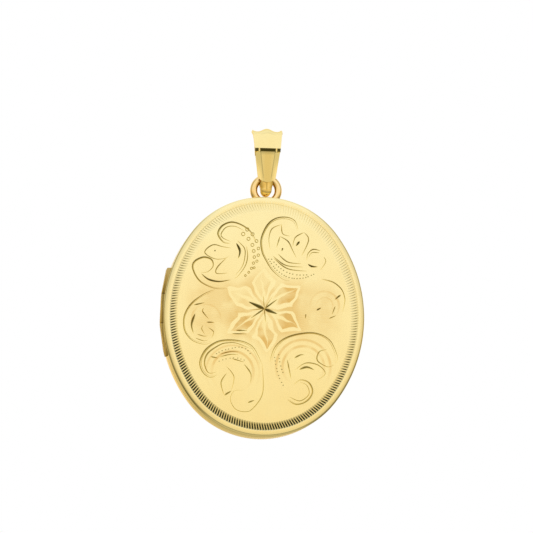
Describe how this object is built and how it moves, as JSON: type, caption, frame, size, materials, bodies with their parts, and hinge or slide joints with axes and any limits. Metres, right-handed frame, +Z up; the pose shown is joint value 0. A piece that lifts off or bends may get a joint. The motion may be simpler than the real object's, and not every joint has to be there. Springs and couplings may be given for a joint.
{
  "type": "locket pendant",
  "caption": "Oval hinged photo locket with an engraved cover, hanging from a folded bail on a jump ring.",
  "frame": {"origin": "middle of the bail's opening, where the chain runs", "axes": "+Z up as it hangs, -Y the engraved front, +X the opening side, with the hinge on -X"},
  "size_m": [0.0303, 0.0052, 0.0466],
  "materials": {
    "polished_gold": "polished",
    "engraved_gold": "polished, engraved",
    "inner_gold": "satin",
    "hinge_gold": "satin",
    "clear_window": "clear",
    "photo_card": "matt"
  },
  "bodies": {
    "bail": {"bail_strap": "polished_gold", "bail_eye": "polished_gold"},
    "ring": {"jump_ring": "polished_gold"},
    "case_back": {"back_shell": "polished_gold", "back_seat": "inner_gold", "snap_lip": "inner_gold", "back_photo_frame": "inner_gold", "back_window": "clear_window", "back_photo_card": "photo_card", "hinge_knuckle_top": "hinge_gold", "hinge_knuckle_bottom": "hinge_gold", "hinge_pin": "hinge_gold"},
    "cover": {"front_shell": "engraved_gold", "front_seat": "inner_gold", "front_photo_frame": "inner_gold", "front_window": "clear_window", "front_photo_card": "photo_card", "hinge_knuckle_middle": "hinge_gold"}
  },
  "joints": [
    {"name": "bail_swing", "type": "hinge", "parent": "bail", "child": "ring", "pos_m": [0, 0, -0.00535], "axis": [1, 0, 0], "range_deg": [-60, 60]},
    {"name": "side_sway", "type": "hinge", "parent": "ring", "child": "case_back", "pos_m": [0, 0, -0.00719], "axis": [0, 1, 0], "range_deg": [-75, 75]},
    {"name": "cover_hinge", "type": "hinge", "parent": "case_back", "child": "cover", "pos_m": [-0.0144, -0.00075, -0.0265], "axis": [0, 0, -1], "range_deg": [0, 130]}
  ]
}
